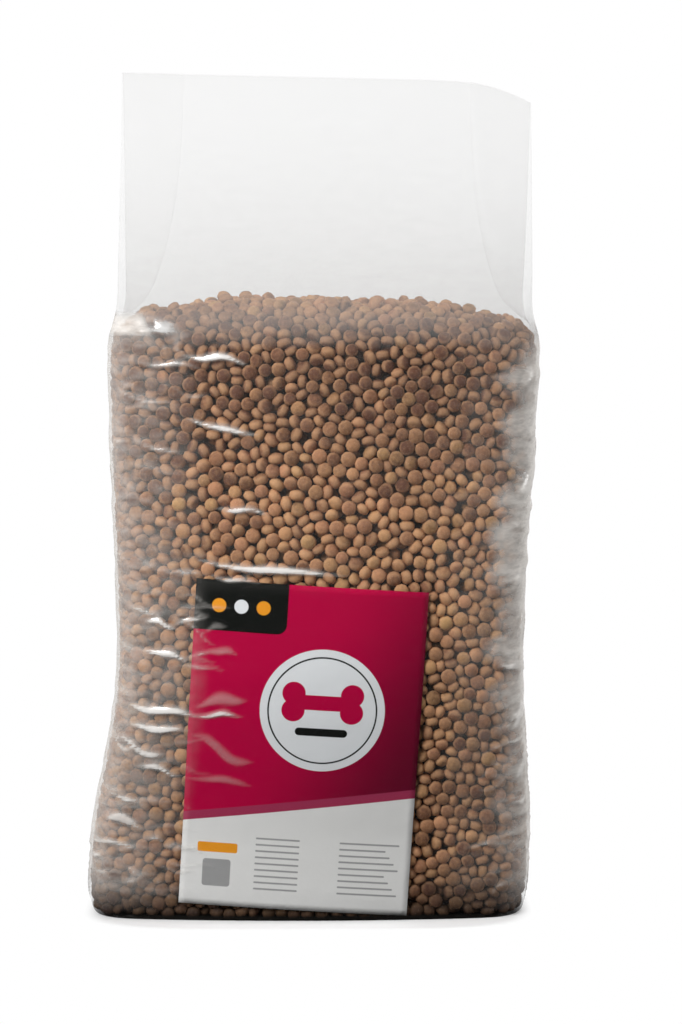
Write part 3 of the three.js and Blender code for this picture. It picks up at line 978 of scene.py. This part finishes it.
def sheetMaterial():
    material, tree = newMaterial("printedSheet")
    link = tree.links.new
    place = addNode(tree, "ShaderNodeVectorMath", operation="MULTIPLY")
    place.inputs[1].default_value = (label["width"], label["height"], 0)
    link(addNode(tree, "ShaderNodeUVMap", uv_map="print").outputs[0], place.inputs[0])
    split = addNode(tree, "ShaderNodeSeparateXYZ")
    link(place.outputs[0], split.inputs[0])
    across, up = split.outputs["X"], split.outputs["Y"]
    box = roundedBoxGroup()

    def shape(x, y, halfWidth, halfHeight, corner):
        node = addNode(tree, "ShaderNodeGroup", node_tree=box)
        values = (place.outputs[0], (x, y, 0), (halfWidth, halfHeight, 0), corner)
        for socket, value in zip(node.inputs, values):
            feed(tree, socket, value)
        return node.outputs["Mask"]

    def disc(x, y, radius):
        return shape(x, y, radius, radius, radius)

    def paint(mask, name):
        return mixColour(tree, mask, colour, label[name])

    # a crimson field over a pale one, with a slanting edge and a pink rule between them
    shade = mathNode(tree, "MULTIPLY_ADD", up, label["shadeRise"], across)
    shade = smoothStep(tree, shade, *label["shadeRamp"])
    colour = mixColour(tree, shade, label["crimson"], label["deepCrimson"])
    edge = mathNode(tree, "MULTIPLY_ADD", across, label["fieldRise"], label["fieldHeight"])
    below = mathNode(tree, "SUBTRACT", edge, up)
    nearEdge = mathNode(tree, "ADD", below, label["pinkWidth"])
    colour = paint(smoothStep(tree, nearEdge, -label["sharp"], label["sharp"]), "pink")
    colour = paint(smoothStep(tree, below, -label["sharp"], label["sharp"]), "pale")

    # a black tab at the top left with three discs
    colour = paint(shape(*label["tab"]), "black")
    row = label["discs"]
    for number, name in enumerate(row["colours"]):
        colour = paint(disc(row["x"] + row["step"] * number, row["y"], row["radius"]), name)

    # a round badge with a bone over a dash
    badge, bone, dash = label["badge"], label["bone"], label["dash"]
    x, y = badge["x"], badge["y"]
    colour = paint(disc(x, y, badge["radius"]), "white")
    hole = disc(x, y, badge["ring"] - badge["ringWidth"])
    colour = paint(mathNode(tree, "SUBTRACT", disc(x, y, badge["ring"]), hole), "black")
    half, level = bone["length"] / 2, y + bone["above"]
    motif = shape(x, level, half, bone["thick"] / 2, bone["corner"])
    for side in (-1, 1):
        for way in (-1, 1):
            knob = disc(x + side * half, level + way * bone["knobApart"] * bone["knob"], bone["knob"])
            motif = mathNode(tree, "MAXIMUM", motif, knob)
    colour = paint(motif, "crimson")
    colour = paint(shape(x, y - dash["below"], dash["half"], dash["thick"], dash["thick"]), "black")

    # two columns of plain grey rules, an orange bar and a grey square
    rules = label["rules"]
    start, longest, loss = label["raggedRules"]
    for number in range(rules["count"]):
        level = rules["top"] - rules["step"] * number
        half = longest - loss * (number * 3 % 4) / 4
        for middle, halfWidth in ((start + half, half), label["evenRules"]):
            colour = paint(shape(middle, level, halfWidth, rules["thick"], rules["corner"]), "grey")
    colour = paint(shape(*label["bar"]), "orange")
    colour = paint(shape(*label["square"]), "grey")

    paper = noise(tree, addNode(tree, "ShaderNodeTexCoord").outputs["Object"], *label["paper"])
    endOpaque(tree, colour, bump(tree, paper, *label["paperBump"]), label["rough"], label["specular"])
    return material


# The stage: pale floor, white surround, soft lamps and the camera

stage = {
    "imageWidth": 682,
    "imageHeight": 1024,
    "axisColumn": 312,  # the bag's middle in the picture
    "baseRow": 909,
    "pixel": 1.02 * mm,  # at the bag's middle
    "distance": 2.7,
    "elevation": 5.5,
    "sensor": 36,
    "surround": 0.17,  # light from all round
    "floorHalf": 6.0,
    "floorPale": (0.92, 0.92, 0.92),
    "bounce": (0.07, 0.07, 0.07),  # what the floor sends up to the object
    "shadowMiddle": -0.004,  # of the floor's patch that keeps the shadow
    "shadowWidth": 0.226,
    "shadowDepth": 0.108,
    "shadowEdge": (0.93, 1.02),
    "aim": (0, 0, 0.4),
    "lamps": [
        # azimuth, elevation, distance, width, height, radiance
        (-40, 27, 2.0, 1.1, 0.8, 14.5),
        (85, 18, 2.2, 1.0, 1.0, 6.5),
        (0, 80, 1.9, 1.2, 1.0, 1.6),
        (160, 35, 2.4, 1.2, 1.0, 4.0),
    ],
}


def outFrom(azimuth, elevation):
    a, e = math.radians(azimuth), math.radians(elevation)
    return Vector((math.sin(a) * math.cos(e), -math.cos(a) * math.cos(e), math.sin(e)))


def turnTo(item, target):
    item.rotation_euler = (target - item.location).to_track_quat("-Z", "Y").to_euler()


def addCamera():
    data = bpy.data.cameras.new("camera")
    camera = bpy.data.objects.new("camera", data)
    bpy.context.scene.collection.objects.link(camera)
    sideways = (stage["imageWidth"] / 2 - stage["axisColumn"]) * stage["pixel"]
    upwards = (stage["baseRow"] - stage["imageHeight"] / 2) * stage["pixel"]
    upwards /= math.cos(math.radians(stage["elevation"]))
    camera.location = Vector((0, 0, upwards)) + outFrom(0, stage["elevation"]) * stage["distance"]
    turnTo(camera, Vector((sideways, 0, upwards)))
    data.sensor_fit = "VERTICAL"
    data.sensor_height = stage["sensor"]
    data.lens = stage["sensor"] * stage["distance"] / (stage["imageHeight"] * stage["pixel"])
    bpy.context.scene.camera = camera


def addLamps():
    aim = Vector(stage["aim"])
    for number, (azimuth, elevation, distance, width, height, radiance) in enumerate(stage["lamps"]):
        data = bpy.data.lights.new("lamp%d" % number, "AREA")
        data.shape = "RECTANGLE"
        data.size, data.size_y = width, height
        data.energy = radiance * math.pi * width * height
        lamp = bpy.data.objects.new("lamp%d" % number, data)
        lamp.location = aim + outFrom(azimuth, elevation) * distance
        turnTo(lamp, aim)
        bpy.context.scene.collection.objects.link(lamp)


def backgroundRays(tree):
    # 1 where the background itself is seen, 0 for its light on the object
    path = addNode(tree, "ShaderNodeLightPath").outputs
    seen = mathNode(tree, "MAXIMUM", path["Is Camera Ray"], path["Is Transmission Ray"])
    return mathNode(tree, "MAXIMUM", seen, path["Is Glossy Ray"])


def addSurround():
    world = bpy.data.worlds.new("surround")
    bpy.context.scene.world = world
    world.use_nodes = True
    tree = world.node_tree
    tree.nodes.clear()
    level = addNode(tree, "ShaderNodeMapRange")
    level.inputs["To Min"].default_value = stage["surround"]
    tree.links.new(backgroundRays(tree), level.inputs["Value"])
    light = addNode(tree, "ShaderNodeBackground", Color=(1, 1, 1, 1))
    tree.links.new(level.outputs["Result"], light.inputs["Strength"])
    endTree(tree, light, "ShaderNodeOutputWorld")


def addFloor():
    bm = bmesh.new()
    bmesh.ops.create_grid(bm, x_segments=1, y_segments=1, size=stage["floorHalf"])
    floor = objectFrom(bm, "floor")
    bpy.context.scene.collection.objects.link(floor)
    material, tree = newMaterial("paleFloor")
    link = tree.links.new
    split = addNode(tree, "ShaderNodeSeparateXYZ")
    link(addNode(tree, "ShaderNodeTexCoord").outputs["Object"], split.inputs[0])
    across = mathNode(tree, "SUBTRACT", split.outputs["X"], stage["shadowMiddle"])
    across = mathNode(tree, "POWER", mathNode(tree, "DIVIDE", across, stage["shadowWidth"]), 4.0)
    deep = mathNode(tree, "POWER", mathNode(tree, "DIVIDE", split.outputs["Y"], stage["shadowDepth"]), 4.0)
    reachOut = mathNode(tree, "POWER", mathNode(tree, "ADD", across, deep), 0.25)
    seen = backgroundRays(tree)
    plain = mathNode(tree, "MULTIPLY", seen, smoothStep(tree, reachOut, *stage["shadowEdge"]))
    pale = addNode(tree, "ShaderNodeBsdfDiffuse")
    link(mixColour(tree, seen, stage["bounce"], stage["floorPale"]), pale.inputs["Color"])
    white = addNode(tree, "ShaderNodeEmission", Color=(1, 1, 1, 1), Strength=1.0)
    endTree(tree, mixShader(tree, plain, pale, white))
    floor.data.materials.append(material)


addCamera()
addLamps()
addSurround()
addFloor()
kibblePieces(kibbleMaterial())
filmPiece()
sheetPiece()

bpy.context.scene.view_settings.view_transform = "Standard"
bpy.context.scene.cycles.transparent_max_bounces = 20
bpy.context.scene.cycles.diffuse_bounces = 2
